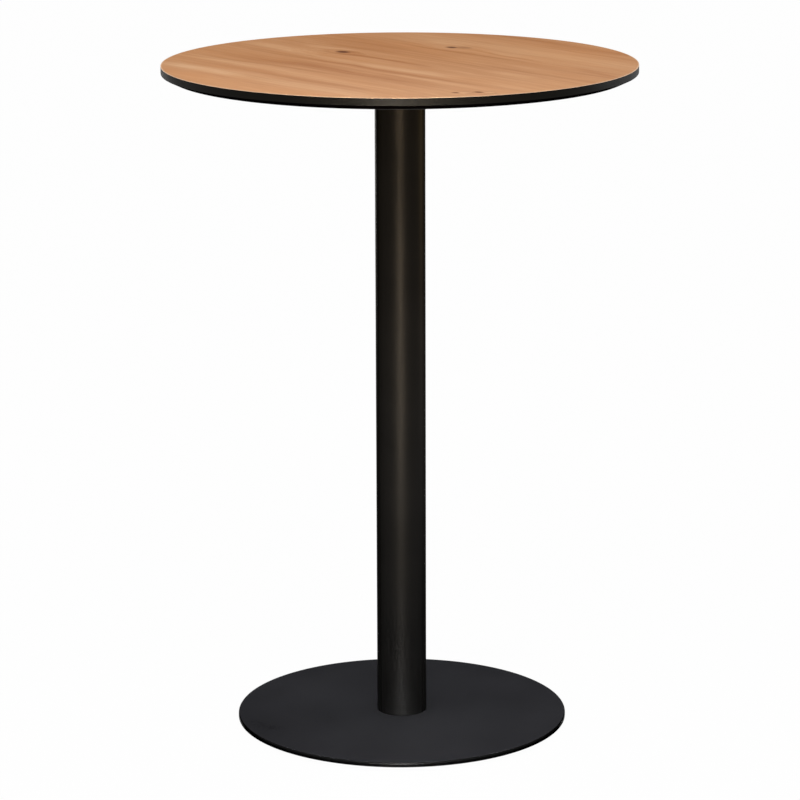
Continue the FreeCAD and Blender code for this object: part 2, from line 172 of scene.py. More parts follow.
def make_piece(name, grids, finish, body, replaces, sharp_angle=40):
    """One closed piece from grids of points, joined where they meet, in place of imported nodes."""
    points, faces, count = [], [], 0
    for grid, wraps in grids:
        rows, columns = grid.shape[:2]
        faces.append(grid_faces(rows, columns, wraps) + count)
        points.append(grid.reshape(-1, 3))
        count += rows * columns
    mesh = bpy.data.meshes.new(name)
    mesh.from_pydata(np.concatenate(points).tolist(), [], np.concatenate(faces).tolist())
    work = bmesh.new()
    work.from_mesh(mesh)
    bmesh.ops.remove_doubles(work, verts=work.verts, dist=JOIN_DISTANCE)
    bmesh.ops.recalc_face_normals(work, faces=work.faces)
    work.to_mesh(mesh)
    work.free()
    mesh.polygons.foreach_set("use_smooth", np.ones(len(mesh.polygons), bool))
    mesh.set_sharp_from_angle(angle=math.radians(sharp_angle))
    mesh.materials.append(finish)
    piece = new_object(name, mesh)
    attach(piece, body)
    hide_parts(*replaces)
    return piece


def face_values(piece, name):
    """A vector of each face, such as its normal, as one row a face."""
    values = np.empty(3 * len(piece.data.polygons))
    piece.data.polygons.foreach_get(name, values)
    return values.reshape(-1, 3)


def dress_node(node, finish):
    """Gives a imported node, which keeps its shape, a finish."""
    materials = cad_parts[node].data.materials
    materials.clear()
    materials.append(finish)


# Finishes

# Nearly all of a noise lies in this span
NOISE_SPAN = (0.3, 0.7)


class NodeTree:
    """The nodes of a material or a world, with short ways to add them and join them."""

    def __init__(self, owner):
        owner.use_nodes = True
        self.nodes = owner.node_tree.nodes
        self.links = owner.node_tree.links

    def feed(self, socket, value):
        """Sets a socket to a constant, or links it to another node's output."""
        if isinstance(value, bpy.types.NodeSocket):
            self.links.new(value, socket)
        elif hasattr(value, "__len__") and len(value) == 3 and len(socket.default_value) == 4:
            socket.default_value = (*value, 1)
        else:
            socket.default_value = value

    def tune(self, node, **values):
        """Feeds a node's sockets by name, with underscores for spaces."""
        for name, value in values.items():
            self.feed(node.inputs[name.replace("_", " ")], value)

    def add(self, kind, *values, **settings):
        """A new node with these settings, its first sockets fed with the values."""
        node = self.nodes.new(kind)
        for name, value in settings.items():
            setattr(node, name, value)
        for socket, value in zip(node.inputs, values):
            self.feed(socket, value)
        return node

    def result(self, kind, *values, **settings):
        """The first output of a new node."""
        return self.add(kind, *values, **settings).outputs[0]

    def maths(self, operation, *values):
        return self.result("ShaderNodeMath", *values, operation=operation)

    times = functools.partialmethod(maths, "MULTIPLY")
    plus = functools.partialmethod(maths, "ADD")
    minus = functools.partialmethod(maths, "SUBTRACT")

    def spread(self, value, low, high, new_low, new_high, smooth=False):
        """Stretches the stretch from low to high over new_low to new_high, and holds it there."""
        return self.result("ShaderNodeMapRange", value, low, high, new_low, new_high,
                           interpolation_type="SMOOTHSTEP" if smooth else "LINEAR")

    def seen_rays(self):
        """1 for rays that show the background: to the camera, in a reflection or through glass."""
        rays = self.add("ShaderNodeLightPath").outputs
        seen = self.maths("MAXIMUM", rays["Is Camera Ray"], rays["Is Glossy Ray"])
        return self.maths("MAXIMUM", seen, rays["Is Transmission Ray"])


class Finish(NodeTree):
    """A material with one shader, whose patterns follow a place in metres."""

    def __init__(self, name, **constants):
        self.material = bpy.data.materials.new(name)
        super().__init__(self.material)
        self.shader = self.nodes["Principled BSDF"]
        self.place = self.add("ShaderNodeTexCoord").outputs["Object"]
        self.surface(**constants)

    def surface(self, **values):
        """Feeds the shader's sockets by name."""
        self.tune(self.shader, **values)

    def vector(self, operation, *values):
        node = self.add("ShaderNodeVectorMath", *values, operation=operation)
        return node.outputs["Value" if operation in ("DOT_PRODUCT", "LENGTH") else "Vector"]

    def joined(self, x, y, z):
        return self.result("ShaderNodeCombineXYZ", x, y, z)

    def scaled(self, vector, factor):
        """A vector or a colour times a factor."""
        product = self.vector("SCALE", vector)
        self.tune(product.node, Scale=factor)
        return product

    def height(self):
        """The height over the floor, in metres."""
        return self.vector("DOT_PRODUCT", self.place, (0, 0, 1))

    def noise(self, place, scale, detail, roughness):
        """A noise between 0 and 1 that averages one half."""
        node = self.add("ShaderNodeTexNoise")
        self.tune(node, Vector=place, Scale=scale, Detail=detail, Roughness=roughness)
        return node.outputs[0]

    def varied(self, noise, low, high):
        """A value that follows a noise from low to high."""
        return self.spread(noise, *NOISE_SPAN, low, high)

    def ramp(self, value, stops):
        """A colour for a value, between stops given as (place, colour)."""
        node = self.add("ShaderNodeValToRGB", value)
        elements = node.color_ramp.elements
        while len(elements) < len(stops):
            elements.new(1)
        for element, (place, colour) in zip(elements, stops):
            element.position = place
            element.color = (*colour, 1)
        return node.outputs[0]

    def mixed(self, share, first, second):
        """A colour between two."""
        node = self.add("ShaderNodeMix", data_type="RGBA")
        sockets = {socket.identifier: socket for socket in (*node.inputs, *node.outputs)}
        for identifier, value in (("Factor_Float", share), ("A_Color", first), ("B_Color", second)):
            self.feed(sockets[identifier], value)
        return sockets["Result_Color"]

    def bump(self, height, millimetres, strength):
        """Relief of the surface: height from 0 to 1 stands for this many millimetres."""
        node = self.add("ShaderNodeBump")
        self.tune(node, Strength=strength, Distance=millimetres * MM, Height=height)
        self.surface(Normal=node.outputs[0])


def coated(name, colour, roughness, grain=1.0, peel=0.06, mottle=0.12, clouds=9, levels=None, **constants):
    """Powder coat: a fine orange peel, a little cloudiness in its colour, and roughness that varies with it.

    Levels, given as (height in metres, colour), replace its one colour on a tall piece. Peel is the depth
    of the orange peel in millimetres.
    """
    finish = Finish(name, **constants)
    if levels:
        colour = finish.ramp(finish.height(), levels)
    cloud = finish.noise(finish.place, clouds, 3, 0.5)
    speck = finish.noise(finish.place, 900 * grain, 2, 0.6)
    uneven = finish.times(finish.varied(cloud, 1 - mottle, 1 + mottle),
                          finish.varied(speck, 0.94, 1.06))
    finish.surface(Base_Color=finish.scaled(colour, uneven),
                   Roughness=finish.varied(cloud, roughness - 0.03, roughness + 0.03))
    orange_peel = finish.noise(finish.place, 420 * grain, 2, 0.5)
    finish.bump(finish.plus(orange_peel, finish.times(speck, 0.35)), peel, 0.5)
    return finish.material


# Metal flakes in the coat give it a sheen of its own colour that stays dark where the surface turns away
DARK_GRAZING = {"Specular_IOR_Level": 0.0, "Specular_Tint": (0.36, 0.36, 0.36)}


def toned(colour, factor):
    """A colour made darker or lighter, at most white."""
    return tuple(min(1, factor * part) for part in colour)


def brushed_metal(name, colour, roughness):
    """Bare or plated steel: fine marks that run round the turned piece."""
    finish = Finish(name, Metallic=1.0)
    lines = finish.noise(finish.vector("MULTIPLY", finish.place, (60, 60, 2400)), 1, 4, 0.65)
    blotch = finish.noise(finish.place, 30, 3, 0.6)
    finish.surface(Base_Color=finish.ramp(blotch, ((0.25, toned(colour, 0.8)), (0.75, toned(colour, 1.12)))),
                   Roughness=finish.varied(lines, roughness - 0.08, roughness + 0.1))
    finish.bump(lines, 0.02, 0.4)
    return finish.material


def moulded_plastic(name, colour):
    """Moulded plastic with a fine eroded texture."""
    finish = Finish(name, Roughness=0.55, Specular_IOR_Level=0.35)
    grain = finish.noise(finish.place, 1400, 3, 0.6)
    finish.surface(Base_Color=finish.ramp(grain, ((0.3, toned(colour, 0.85)), (0.7, toned(colour, 1.15)))))
    finish.bump(grain, 0.04, 0.5)
    return finish.material


# The wood decor, in millimetres on the table face: along the grain, from the far left to the near right,
# and across it, towards the far right.
GRAIN_ANGLE = -50
# Bands of the decor: across, slant, half width, middle along, half length, how much lighter or darker
BANDS = (
    (335, 0, 16, 0, 300, -0.10),
    (300, 0, 14, -40, 250, -0.04),
    (236, 0, 34, 0, 330, 0.09),
    (152, 0, 6, -10, 150, -0.12),
    (178, -0.08, 4, 40, 90, -0.10),
    (179, 0, 12, 0, 300, 0.05),
    (196, 0, 8, -130, 40, 0.08),
    (112, 0, 16, 110, 130, 0.08),
    (128, 0, 34, -230, 130, -0.07),
    (92, 0, 52, 0, 340, -0.06),
    (58, 0, 9, -170, 90, -0.06),
    (12, -0.04, 6, -60, 120, -0.16),
    (25, 0, 9, -215, 50, 0.09),
    (-22, 0, 22, -260, 90, 0.11),
    (-42, 0.04, 11, 70, 100, 0.14),
    (-45, 0, 14, -120, 110, 0.06),
    (-65, 0, 12, 20, 270, -0.11),
    (-84, 0, 8, 200, 110, 0.09),
    (-101, 0, 6, 140, 60, -0.06),
    (-164, 0, 9, 20, 230, -0.05),
    (-121, 0, 22, 20, 220, -0.13),
    (-144, 0, 15, -200, 100, -0.05),
    (-192, 0, 15, -130, 220, 0.09),
    (-226, 0.01, 9, 20, 200, -0.10),
    (-272, 0, 20, -150, 100, 0.17),
    (-276, 0, 25, 130, 150, 0.08),
    (45, 0.10, 15, 215, 55, 0.07),
    (150, -0.20, 10, 290, 60, -0.08),
)
BAND_CONTRAST = 1.45
# Knots: along, across, half width of the dark heart, reach of the bent grain around it, how dark
KNOTS = (
    (-160, 15, 9.6, 24, 1.00),
    (-86, 182, 7.6, 18, 1.00),
    (-70, 194, 11.0, 8, 0.34),
    (318, -115, 5.6, 8, 0.85),
    (299, -144, 4.8, 7, 0.68),
)
# Pale eyes beside the two small marks, in thin dark rings: along, across, half length, half width
EYES = (
    (309, -134, 13, 11),
    (331, -105, 12, 9),
)
# A patch of rippled grain: along, across, half length, half width
RIPPLE = (-195, -26, 60, 26)
# Slow waves of the grain lines: scale along, scale across, seed, sway
WAVES = (
    (0.004, 0.008, 0, 24),
    (0.013, 0.030, 7, 9),
)
# Bands, streaks and fibres, each finer than the one before: scale along, scale across, seed, detail, strength
FIBRES = (
    (0.0022, 0.022, 3, 2, 0.16),
    (0.0040, 0.080, 11, 2, 0.31),
    (0.0080, 0.300, 23, 2, 0.24),
    (0.0250, 1.100, 31, 3, 0.24),
)
# Tones at which the decor has its darkest, dark, middle, light and palest colour
WOOD_STOPS = (0.0, 0.28, 0.5, 0.72, 1.0)
# Distances from the rim between which the print gives way to a pale band, a painted highlight along the rim
RIM_PAINTED_HIGHLIGHT = (2.4 * MM, 0.6 * MM)
# Distances under the top of the core between which a thin line darkens
TOP_DARK_LINE = (2.2 * MM, 0.8 * MM)


def wood_decor(colours, rim):
    """Printed wood grain with a matt seal: bands along the grain, finer fibres and pores, dark knots.

    At the rim the print gives way to a pale band, a painted highlight along the rim.
    """
    finish = Finish("wood_decor_face", Specular_IOR_Level=0.015)
    maths, times, plus, minus = finish.maths, finish.times, finish.plus, finish.minus
    millimetres = finish.scaled(finish.place, 1 / MM)
    turn = math.radians(GRAIN_ANGLE)
    along = finish.vector("DOT_PRODUCT", millimetres, (math.cos(turn), math.sin(turn), 0))
    across = finish.vector("DOT_PRODUCT", millimetres, (-math.sin(turn), math.cos(turn), 0))

    def stretched(line, along_scale, across_scale, seed, detail=2):
        """A noise stretched along the grain, less one half."""
        place = finish.joined(times(along, along_scale), times(line, across_scale), seed)
        return minus(finish.noise(place, 1, detail, 0.55), 0.5)

    def squared(value):
        return times(value, value)

    def off(value, middle, width):
        """(value - middle) / width."""
        return times(minus(value, middle), 1 / width)

    def squared_distance(middle_along, middle_across, half_length, half_width):
        """(a / length)² + (c / width)² from a place on the face."""
        a = off(along, middle_along, half_length)
        return maths("MULTIPLY_ADD", a, a, squared(off(across, middle_across, half_width)))

    def faded(power):
        """e to the minus power."""
        return maths("EXPONENT", times(power, -1))

    # The grain line that a point lies on: its place across the grain, with slow waves
    grain_line = across
    for along_scale, across_scale, seed, sway in WAVES:
        grain_line = maths("MULTIPLY_ADD", stretched(across, along_scale, across_scale, seed), sway, grain_line)

    # Round a knot the grain lines part: each moves by c k² / (a² / 4 + c² + k² / 2)
    hearts = []
    for middle_along, middle_across, heart, reach, darkness in KNOTS:
        square = squared_distance(middle_along, middle_across, 2 * reach, reach)
        aside = times(minus(across, middle_across), -1)
        grain_line = plus(grain_line, maths("DIVIDE", aside, plus(square, 0.5)))
        ragged = plus(finish.noise(finish.joined(along, across, middle_along), 0.16, 3, 0.6), 0.5)
        close = squared_distance(middle_along, middle_across, 1.35 * heart, heart)
        hearts.append(times(faded(maths("DIVIDE", squared(close), ragged)), darkness))

    tone = 0.5
    for middle, slant, width, middle_along, half_length, change in BANDS:
        leaning = times(minus(along, middle_along), slant)
        aside = times(minus(minus(grain_line, middle), leaning), 1 / width)
        end = maths("POWER", maths("ABSOLUTE", off(along, middle_along, half_length)), 4)
        band = faded(maths("MULTIPLY_ADD", aside, aside, end))
        tone = maths("MULTIPLY_ADD", band, change * BAND_CONTRAST, tone)

    for *shape, strength in FIBRES:
        tone = maths("MULTIPLY_ADD", stretched(grain_line, *shape), strength, tone)
    ripple = times(faded(squared_distance(*RIPPLE)), 0.55)
    tone = maths("MULTIPLY_ADD", stretched(grain_line, 0.045, 0.12, 37), ripple, tone)

    colour = finish.ramp(tone, list(zip(WOOD_STOPS, (
        colours.wood_darkest, colours.wood_dark, colours.wood_middle, colours.wood_light,
        colours.wood_palest))))
    hue = plus(finish.spread(stretched(grain_line, 0.004, 0.012, 47), -0.05, 0.25, 0, 0.3),
                finish.spread(across, -270, -340, 0, 0.28, smooth=True))
    colour = finish.mixed(hue, colour, colours.wood_warm)
    # Paler towards the front and deeper towards the back: painted light at the front and painted shade at the
    # back
    to_the_back = finish.vector("DOT_PRODUCT", millimetres, (0, 1, 0))
    colour = finish.mixed(finish.spread(to_the_back, -350, 80, 0.075, 0), colour, colours.wood_front_painted_light)
    colour = finish.mixed(finish.spread(to_the_back, -60, 360, 0, 0.26), colour, colours.wood_back_painted_shade)

    pores = finish.spread(stretched(grain_line, 0.11, 2.4, 59, 1), 0.16, 0.30, 0, 0.22)
    colour = finish.mixed(pores, colour, colours.wood_knot)
    broken = finish.spread(finish.noise(finish.joined(along, across, 5), 0.12, 2, 0.6), 0.42, 0.6, 0.04, 0.26)
    for eye in EYES:
        square = squared_distance(*eye)
        pale = times(faded(times(square, 2)), 0.24)
        colour = finish.mixed(pale, colour, colours.wood_palest)
        ring = times(faded(squared(off(maths("SQRT", square), 1, 0.2))), broken)
        colour = finish.mixed(ring, colour, colours.wood_knot)
    for heart in hearts:
        colour = finish.mixed(heart, colour, colours.wood_knot)
    radius = finish.vector("LENGTH", finish.vector("MULTIPLY", finish.place, (1, 1, 0)))
    # A pale band along the rim: painted highlight
    cut = finish.spread(radius, rim - RIM_PAINTED_HIGHLIGHT[0], rim - RIM_PAINTED_HIGHLIGHT[1], 0, 0.85, smooth=True)
    finish.surface(Base_Color=finish.mixed(cut, colour, colours.wood_rim_painted_highlight),
                   Roughness=finish.spread(tone, 0, 1, 0.64, 0.54))
    finish.bump(minus(tone, pores), 0.03, 0.35)
    return finish.material


def edge_black(colours, top):
    """The black edge of the board: sealed and satin, with faint layers and a thin darker line at its top."""
    finish = Finish("board_edge_black", Specular_IOR_Level=0.04)
    layers = finish.noise(finish.vector("MULTIPLY", finish.place, (18, 18, 900)), 1, 3, 0.6)
    cloud = finish.noise(finish.place, 14, 3, 0.55)
    uneven = finish.plus(finish.varied(layers, 0.4, 0.6), finish.varied(cloud, 0.4, 0.6))
    top_line_darkening = finish.spread(finish.height(), top - TOP_DARK_LINE[0], top - TOP_DARK_LINE[1], 1, 0.4, smooth=True)
    finish.surface(Base_Color=finish.scaled(colours.edge, finish.times(uneven, top_line_darkening)),
                   Roughness=finish.varied(cloud, 0.44, 0.54))
    finish.bump(layers, 0.03, 0.3)
    return finish.material


def milled_black_with_painted_shade(colours):
    """The milled bevel and underside of the black core: dull, with the fine fluff of cut fibres, and darker
    than the edge as painted shade on these downward faces.
    """
    finish = Finish("board_core_milled", Specular_IOR_Level=0.0, Roughness=0.9)
    fibres = finish.noise(finish.place, 700, 4, 0.7)
    finish.surface(Base_Color=finish.scaled(colours.milled, finish.varied(fibres, 0.7, 1.3)))
    finish.bump(fibres, 0.12, 0.6)
    return finish.material


# What a user may change

def length(name, description, millimetres):
    """A length property, given in millimetres."""
    return bpy.props.FloatProperty(name=name, description=description, default=millimetres * MM, min=0,
                                   subtype="DISTANCE", unit="LENGTH", precision=4)


def shade(name, description, *screen):
    """A colour property, given as it looks on a screen."""
    return bpy.props.FloatVectorProperty(name=name, description=description, default=linear(*screen),
                                         min=0, max=1, size=3, subtype="COLOR")


def power(name, description, watts):
    """A property for a lamp's power."""
    return bpy.props.FloatProperty(name=name, description=description, default=watts, min=0,
                                   subtype="POWER", unit="POWER")


class TableSizes(bpy.types.PropertyGroup):
    """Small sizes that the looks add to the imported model."""
    face_edge: length("Face edge", "Rounding of the wood face's rim", 0.25)
    board_corner: length("Board corner", "Rounding between the upright edge and the bevel", 1.2)
    base_rim: length("Base rim", "Rounding of the base plate's upper rim", 3.0)
    base_lower_rim: length("Base lower rim", "Rounding of the base plate's lower rim", 0.6)
    cast_rounding: length("Casting rounding", "Rounding of the cross's outer edges", 1.4)
    cast_fillet: length("Casting fillet", "Hollow rounding where ribs and collar meet the arms", 3.0)
    pad_edge: length("Pad edge", "Rounding of the foot pads' upper rims", 1.2)
    thread_pitch: length("Thread pitch", "Height of one turn of a foot's thread", 1.25)
    thread_depth: length("Thread depth", "Depth of a foot's thread", 0.7)


class TableColours(bpy.types.PropertyGroup):
    """Colours of the table."""
    wood_darkest: shade("Wood, darkest", "Darkest bands of the wood decor", 140, 86, 52)
    wood_dark: shade("Wood, dark", "Dark bands of the wood decor", 174, 115, 71)
    wood_middle: shade("Wood, middle", "Ground colour of the wood decor", 197, 142, 97)
    wood_light: shade("Wood, light", "Light bands of the wood decor", 216, 167, 124)
    wood_palest: shade("Wood, palest", "Palest streaks of the wood decor", 238, 199, 160)
    wood_warm: shade("Wood, warm", "Warmer patches of the wood decor", 210, 144, 90)
    # Wood, wash and Wood, deep: painted light on the front and painted shade on the back of the face
    wood_front_painted_light: shade("Wood, wash", "Paler side of the wood decor", 240, 222, 206)
    wood_back_painted_shade: shade("Wood, deep", "Deeper side of the wood decor", 207, 137, 70)
    wood_knot: shade("Wood, knots", "Knots and pores of the wood decor", 88, 40, 8)
    # Wood, cut edge: a pale painted highlight along the face's rim
    wood_rim_painted_highlight: shade("Wood, cut edge", "Pale cut edge of the wood decor", 228, 194, 164)
    edge: shade("Board edge", "Black edge of the board", 16, 15, 12)
    # Milled core: partly the dull milled core, partly painted shade on the downward bevel and underside
    milled: shade("Milled core", "Bevel and underside of the board's core", 3, 2, 2)
    backing: shade("Backing", "Backing laminate under the board", 34, 34, 35)
    column: shade("Column", "Powder coat of the column at half height", 25, 24, 23)
    # Column foot and Column head: painted shade near the base and painted warm light near the top of one coat
    column_foot: shade("Column foot", "Powder coat of the column near the base", 20, 20, 20)
    column_head: shade("Column head", "Powder coat of the column near the top", 24, 21, 17)
    base: shade("Base", "Powder coat of the base plate", 50, 50, 53)
    # Base rim and Base side: darker copies of the base's powder coat, painted shade on the rounded rim and the
    # upright side
    base_rim: shade("Base rim", "Thinner powder coat on the base plate's rounded rim", 20, 20, 20)
    base_side_painted_shade: shade("Base side", "Thin powder coat on the base plate's cut side", 6, 6, 6)
    casting: shade("Casting", "Paint of the cross under the board", 30, 30, 31)
    fastener: shade("Fasteners", "Blackened screws and bolts", 52, 52, 55)
    raw_steel: shade("Raw steel", "Discs inside the column", 150, 150, 152)
    zinc: shade("Zinc", "Plated studs of the feet", 196, 200, 204)
    foot_pad: shade("Foot pads", "Moulded plastic of the foot pads", 28, 28, 29)


class StudioLight(bpy.types.PropertyGroup):
    """Light of the studio."""
    surround: bpy.props.FloatProperty(name="Surround", description="Light from all round", default=0.5, min=0)
    overhead: power("Overhead", "Power of the large lamp over the table", 26)
    strip: power("Strip", "Power of the upright lamp in front of the column", 2.4)
    foot: power("Foot", "Power of the low lamp in front of the column's foot", 0.7)
    edge: power("Edge", "Power of the small lamp in front of the board's edge", 0.235)
    rear: power("Rear", "Power of each upright lamp behind the table", 1.2)
    floor: bpy.props.FloatVectorProperty(name="Floor", description="Colour of the floor",
                                         default=(0.9, 0.9, 0.9), size=3, min=0, max=1, subtype="COLOR")


# The board

UPRIGHT_EDGE = 12 * MM
BEVEL_FOOT_ROUNDING = 0.3 * MM
# How far the milled finish reaches over the bevel's upper corner
MILLED_OVERLAP = 0.2 * MM
SCREW_PLACE = 208 * MM
PILOT_RADIUS = 3.05 * MM
PILOT_DEPTH = 10.5 * MM
# Half width of the flat rings that hold blind holes, under the board and under the base
PILOT_RING = 20 * MM
FOOT_RING = 24 * MM


def build_board(sizes, colours):
    """The wood face and the core with its upright edge and bevel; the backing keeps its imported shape."""
    face_low, face_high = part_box("top_face_laminate")
    core_low, core_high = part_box("top_core")
    radius = face_high.x
    make_piece("board_wood_face", [turned(softened((
        (0, face_low.z),
        (radius, face_low.z),
        (radius, face_high.z, sizes.face_edge),
        (0, face_high.z),
    )), 384)], wood_decor(colours, radius), "table", ["top_face_laminate"])

    bevel_foot = high_of("top_backing_laminate").x
    upright_low = face_high.z - UPRIGHT_EDGE
    inner, outer = SCREW_PLACE - PILOT_RING, SCREW_PLACE + PILOT_RING
    rest = turned(softened((
        (outer, core_low.z),
        (bevel_foot, core_low.z, BEVEL_FOOT_ROUNDING),
        (radius, upright_low, sizes.board_corner),
        (radius, core_high.z),
        (0, core_high.z),
    )))
    middle = turned(((0, core_low.z), (inner, core_low.z)))
    holes = bored_ring(inner, outer, core_low.z, PILOT_RADIUS, SCREW_PLACE, PILOT_DEPTH, 0)
    core = make_piece("board_core_edge", [rest, middle, *holes], edge_black(colours, core_high.z),
                      "table", ["top_core"])
    core.data.materials.append(milled_black_with_painted_shade(colours))
    # Faces under the upright edge get the milled finish, darkened as painted shade
    milled = face_values(core, "center")[:, 2] < upright_low + MILLED_OVERLAP
    core.data.polygons.foreach_set("material_index", milled.astype(np.int32))
    backing = coated("board_backing", colours.backing, 0.6, grain=0.7, Specular_IOR_Level=0.3)
    dress_node("top_backing_laminate", backing)


# The cross

ARM_COUNT = 4
ARM_TIP = 225 * MM
ARM_TIP_RADIUS = 17 * MM
ARM_HALF_ROOT = 31 * MM
ARM_BLEND = 44 * MM
ARM_THICKNESS = 6 * MM
HUB_THICKNESS = 8 * MM
SOCKET_DEPTH = 22 * MM
SOCKET_RADIUS = 40.2 * MM
SOCKET_WALL = 6.5 * MM
SOCKET_DRAFT = 1.5 * MM
RIB_START = 43 * MM
RIB_END = 190 * MM
RIB_THICKNESS = 6 * MM
RIB_ROOT_DEPTH = 22 * MM
RIB_TIP_DEPTH = 3 * MM
ARM_DRAFT = 0.2 * MM
RIB_DRAFT = 0.15 * MM
# The last share of a rib, in which it runs out
RIB_RUN_OUT = 0.04
# Largest rounding on a rib, as a share of its depth
RIB_SOFTEST = 0.45
# How far collar and ribs reach into the arms
SUNK = 2 * MM


def cross_outline():
    """Points and outward normals of the cross's outline, seen from above.

    An arm's side is the line sin(b) x + cos(b) y = k that touches the tip's circle. Two arms meet in a
    hollow circle that touches both sides, with its middle on the diagonal at (k + blend) / cos(45° - b).
    """
    tip_middle = ARM_TIP - ARM_TIP_RADIUS
    slope = (math.acos(ARM_TIP_RADIUS / math.hypot(tip_middle, ARM_HALF_ROOT))
             - math.atan2(tip_middle, ARM_HALF_ROOT))
    line = ARM_HALF_ROOT * math.cos(slope)
    normal_angle = math.pi / 2 - slope
    blend_middle = (line + ARM_BLEND) / math.cos(normal_angle - math.pi / 4) / math.sqrt(2)
    tip = np.linspace(0, normal_angle, 15)
    hollow = np.linspace(normal_angle, math.pi / 4, 11)
    normals = np.concatenate([tip, hollow])
    normal = np.stack([np.cos(normals), np.sin(normals)], axis=-1)
    middles = np.concatenate([
        np.tile([tip_middle, 0.0], (tip.size, 1)), np.full((hollow.size, 2), blend_middle)])
    radii = np.concatenate([np.full(tip.size, ARM_TIP_RADIUS), np.full(hollow.size, -ARM_BLEND)])[:, None]
    half = np.stack([middles + radii * normal, normal])
    return np.concatenate([half[:, :0:-1] * [1, -1], half], axis=1)[:, 1:]


def quarter_turn(number):
    """Cosine and sine of a number of right angles."""
    angle = number * math.pi / 2
    return round(math.cos(angle)), round(math.sin(angle))


def around(points):
    """The same points on all four arms, one after the other."""
    turns = (quarter_turn(number) for number in range(ARM_COUNT))
    return np.concatenate([points @ [[cosine, sine], [-sine, cosine]] for cosine, sine in turns])


def cross_plate(base, rounding):
    """The flat of the cross: its rows are the outline, moved in along its normals or shrunk to the middle."""
    outline, normal = (around(part) for part in cross_outline())
    bend = np.linspace(0, math.pi / 2, 6)
    inset = np.concatenate([rounding * (1 - np.sin(bend)), [ARM_DRAFT]])[:, None, None]
    level = np.concatenate([rounding * (1 - np.cos(bend)), [ARM_THICKNESS]]) - ARM_THICKNESS
    edge = outline - inset * normal
    inner = edge[0] * np.array([0, 0.3, 0.6, 0.85])[:, None, None]
    lid = edge[-1] * np.array([0.6, 0])[:, None, None]
    flat = np.concatenate([inner, edge, lid])
    heights = base + np.concatenate([np.full(4, -ARM_THICKNESS), level, np.zeros(2)])
    level_grid = np.broadcast_to(heights[:, None, None], flat.shape[:2] + (1,))
    return np.concatenate([flat, level_grid], axis=-1), True


def cross_collar(base, rounding, fillet):
    """The socket for the column: a drafted ring with a hollow rounding under the arms."""
    mouth = base - HUB_THICKNESS - SOCKET_DEPTH
    arm_face = base - ARM_THICKNESS
    outside = SOCKET_RADIUS + SOCKET_WALL
    shoulder = outside + 1.01 * fillet
    hidden = arm_face + SUNK
    return turned(softened((
        (0, base - HUB_THICKNESS),
        (SOCKET_RADIUS, base - HUB_THICKNESS),
        (SOCKET_RADIUS, mouth, rounding / 3),
        (outside - SOCKET_DRAFT, mouth, rounding),
        (outside, arm_face, fillet),
        (shoulder, arm_face),
        (shoulder, hidden),
        (0, hidden),
    )), 128)


def cross_rib(base, number, rounding, fillet):
    """One rib: its section is a hollow rounding, a drafted side, a rounded lower edge and the same mirrored.

    Along the arm its depth falls in a straight line, and at its end in a quarter of an ellipse.
    """
    share = np.linspace(0, 1, 49)[:, None]
    end = np.clip((share - (1 - RIB_RUN_OUT)) / RIB_RUN_OUT, 0, 1)
    depth = (RIB_ROOT_DEPTH + (RIB_TIP_DEPTH - RIB_ROOT_DEPTH) * share) * np.sqrt(1 - end ** 2 * 0.999)
    along = RIB_START + (RIB_END - RIB_START) * share
    root, lower = np.minimum(fillet, RIB_SOFTEST * depth), np.minimum(rounding, RIB_SOFTEST * depth)
    half = RIB_THICKNESS / 2
    bend = np.linspace(0, math.pi / 2, 6)
    fall, rise = 1 - np.sin(bend), 1 - np.cos(bend)
    side_across = np.concatenate([half + root * fall, half - RIB_DRAFT - lower * rise], axis=1)
    side_down = np.concatenate([root * rise, depth - lower * fall], axis=1)
    sunk = np.full((share.size, 1), -SUNK)
    across = np.concatenate([
        side_across[:, :1], side_across, -side_across[:, ::-1], -side_across[:, :1]], axis=1)
    down = np.concatenate([sunk, side_down, side_down[:, ::-1], sunk], axis=1)
    grid = np.stack(np.broadcast_arrays(along, across, base - ARM_THICKNESS - down), axis=-1)
    start, tip = np.broadcast_to(grid[[0, -1]].mean(axis=1, keepdims=True), (2, *grid.shape[1:]))
    x, y, z = np.moveaxis(np.concatenate([start[None], grid, tip[None]]), -1, 0)
    cosine, sine = quarter_turn(number)
    return np.stack([cosine * x - sine * y, sine * x + cosine * y, z], axis=-1), True


def build_cross(sizes, colours):
    """The cast cross under the board."""
    base = high_of("support_cross").z
    rounding, fillet = sizes.cast_rounding, sizes.cast_fillet
    grids = [cross_plate(base, rounding), cross_collar(base, rounding, fillet)]
    grids += [cross_rib(base, number, rounding, fillet) for number in range(ARM_COUNT)]
    finish = coated("cast_cross_paint", colours.casting, 0.52, grain=0.35, peel=0.2, Specular_IOR_Level=0.3)
    make_piece("cast_cross", grids, finish, "table", ["support_cross"], sharp_angle=32)


# Screws

SCREW_SHANK = 3 * MM
SCREW_HEAD = 6 * MM
SCREW_HEAD_HEIGHT = 3.5 * MM
RECESS_ARM = 2.6 * MM
RECESS_HALF_WIDTH = 0.62 * MM
RECESS_DEPTH = 1.7 * MM
RECESS_WALL = 0.12 * MM
# How much shallower the recess is at the ends of its arms
RECESS_TAPER = 0.6
# Radius and rings of the finely stepped face that holds the recess
RECESS_FACE = 2.7 * MM
RECESS_RINGS = 25
# How far each screw's recess is turned, in radians: the first one, and each one more than that before it
FIRST_TURN, TURN_STEP = 0.4, 1.3


